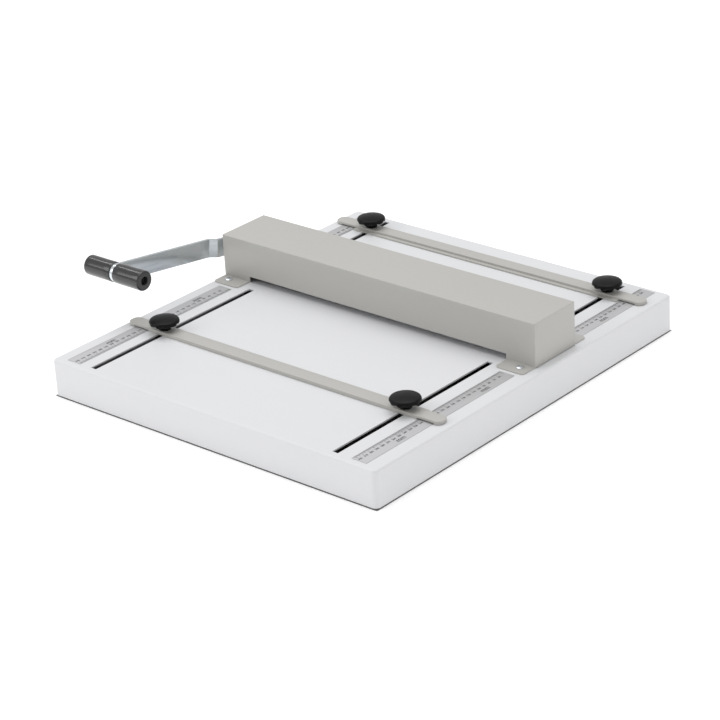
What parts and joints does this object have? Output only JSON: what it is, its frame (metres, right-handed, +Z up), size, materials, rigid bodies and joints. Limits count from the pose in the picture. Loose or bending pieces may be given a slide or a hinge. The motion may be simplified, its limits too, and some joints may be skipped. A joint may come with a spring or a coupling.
{
  "type": "desktop paper creasing machine",
  "caption": "Flat metal table with sliding stop bars and a hooded creasing blade that a hand crank presses down.",
  "frame": {"origin": "on the standing surface, under the middle of the whole outline, crank included", "axes": "+Z up; +Y from the front edge to the back edge; +X along the hood, away from the crank"},
  "size_m": [0.6028, 0.594, 0.1254],
  "materials": {
    "white_powder_coat": "satin white powder coat",
    "grey_powder_coat": "satin warm grey powder coat",
    "ruler_aluminium": "satin anodised, printed scale",
    "zinc_plated_steel": "bright zinc plate",
    "bright_steel": "ground",
    "dark_steel": "black oxide",
    "bronze": "oiled sintered bronze",
    "knob_plastic": "satin moulded",
    "grip_plastic": "polished",
    "foot_rubber": "matte"
  },
  "bodies": {
    "base": {"base_table": "white_powder_coat", "table_ribs": "white_powder_coat", "rubber_feet": "foot_rubber", "ruler_front_left": "ruler_aluminium", "ruler_front_right": "ruler_aluminium", "ruler_rear_left": "ruler_aluminium", "ruler_rear_right": "ruler_aluminium", "hood": "grey_powder_coat", "hood_screws": "zinc_plated_steel", "hood_nuts": "zinc_plated_steel", "bed_beam": "dark_steel", "crease_matrix": "bright_steel", "matrix_screws": "dark_steel", "side_frame_left": "dark_steel", "side_frame_right": "dark_steel", "frame_screws": "dark_steel", "top_bar": "dark_steel", "top_bar_screws": "zinc_plated_steel", "shaft_bushes": "bronze", "guide_rods": "bright_steel", "return_springs": "bright_steel"},
    "press": {"press_beam": "dark_steel", "crease_blade": "bright_steel", "blade_clamp": "bright_steel", "clamp_screws": "dark_steel", "yoke_left": "bright_steel", "yoke_right": "bright_steel", "yoke_screws": "dark_steel", "guide_bushes": "bronze"},
    "crank": {"crank_shaft": "bright_steel", "eccentric_left": "dark_steel", "eccentric_right": "dark_steel", "eccentric_pins": "bright_steel", "shaft_collar": "dark_steel", "crank_hub": "zinc_plated_steel", "hub_set_screw": "dark_steel", "crank_arm": "zinc_plated_steel", "shaft_washer": "zinc_plated_steel", "shaft_screw": "zinc_plated_steel", "grip_bolt": "dark_steel", "grip_nut": "dark_steel"},
    "inner_grip": {"grip_inner": "grip_plastic"},
    "outer_grip": {"grip_outer": "grip_plastic"},
    "front_stop": {"front_stop_plate": "grey_powder_coat", "front_stop_fence": "grey_powder_coat", "front_fence_screws": "zinc_plated_steel", "front_clamp_nuts": "dark_steel"},
    "rear_stop": {"rear_stop_plate": "grey_powder_coat", "rear_stop_fence": "grey_powder_coat", "rear_fence_screws": "zinc_plated_steel", "rear_clamp_nuts": "dark_steel"},
    "clamp_front_left": {"knob_front_left": "knob_plastic", "stud_front_left": "zinc_plated_steel"},
    "clamp_front_right": {"knob_front_right": "knob_plastic", "stud_front_right": "zinc_plated_steel"},
    "clamp_rear_left": {"knob_rear_left": "knob_plastic", "stud_rear_left": "zinc_plated_steel"},
    "clamp_rear_right": {"knob_rear_right": "knob_plastic", "stud_rear_right": "zinc_plated_steel"}
  },
  "joints": [
    {"name": "crank_swing", "type": "hinge", "parent": "base", "child": "crank", "pos_m": [-0.2416, 0.0626, 0.08025], "axis": [-1, 0, 0], "range_deg": [-9, 80]},
    {"name": "press_slide", "type": "slide", "parent": "base", "child": "press", "axis": [0, 0, 1], "range_m": [-0.00065, 0.0057], "deforming": ["return_springs"]},
    {"name": "inner_grip_spin", "type": "hinge", "parent": "crank", "child": "inner_grip", "pos_m": [-0.2258, -0.15207, 0.11195], "axis": [1, 0, 0], "continuous": true},
    {"name": "outer_grip_spin", "type": "hinge", "parent": "crank", "child": "outer_grip", "pos_m": [-0.2779, -0.15207, 0.11195], "axis": [1, 0, 0], "continuous": true},
    {"name": "front_stop_slide", "type": "slide", "parent": "base", "child": "front_stop", "axis": [0, 1, 0], "range_m": [-0.12, 0.1385]},
    {"name": "rear_stop_slide", "type": "slide", "parent": "base", "child": "rear_stop", "axis": [0, 1, 0], "range_m": [-0.108, 0.026]},
    {"name": "clamp_front_left_turn", "type": "hinge", "parent": "front_stop", "child": "clamp_front_left", "pos_m": [-0.1674, -0.1574, 0.0559], "axis": [0, 0, 1], "range_deg": [0, 360]},
    {"name": "clamp_front_right_turn", "type": "hinge", "parent": "front_stop", "child": "clamp_front_right", "pos_m": [0.2317, -0.1574, 0.0559], "axis": [0, 0, 1], "range_deg": [0, 360]},
    {"name": "clamp_rear_left_turn", "type": "hinge", "parent": "rear_stop", "child": "clamp_rear_left", "pos_m": [-0.1674, 0.2518, 0.0559], "axis": [0, 0, 1], "range_deg": [0, 360]},
    {"name": "clamp_rear_right_turn", "type": "hinge", "parent": "rear_stop", "child": "clamp_rear_right", "pos_m": [0.2317, 0.2518, 0.0559], "axis": [0, 0, 1], "range_deg": [0, 360]}
  ],
  "couplings": [
    {"joint": "press_slide", "follows": "crank_swing", "m_per_rad": 0.004061}
  ]
}
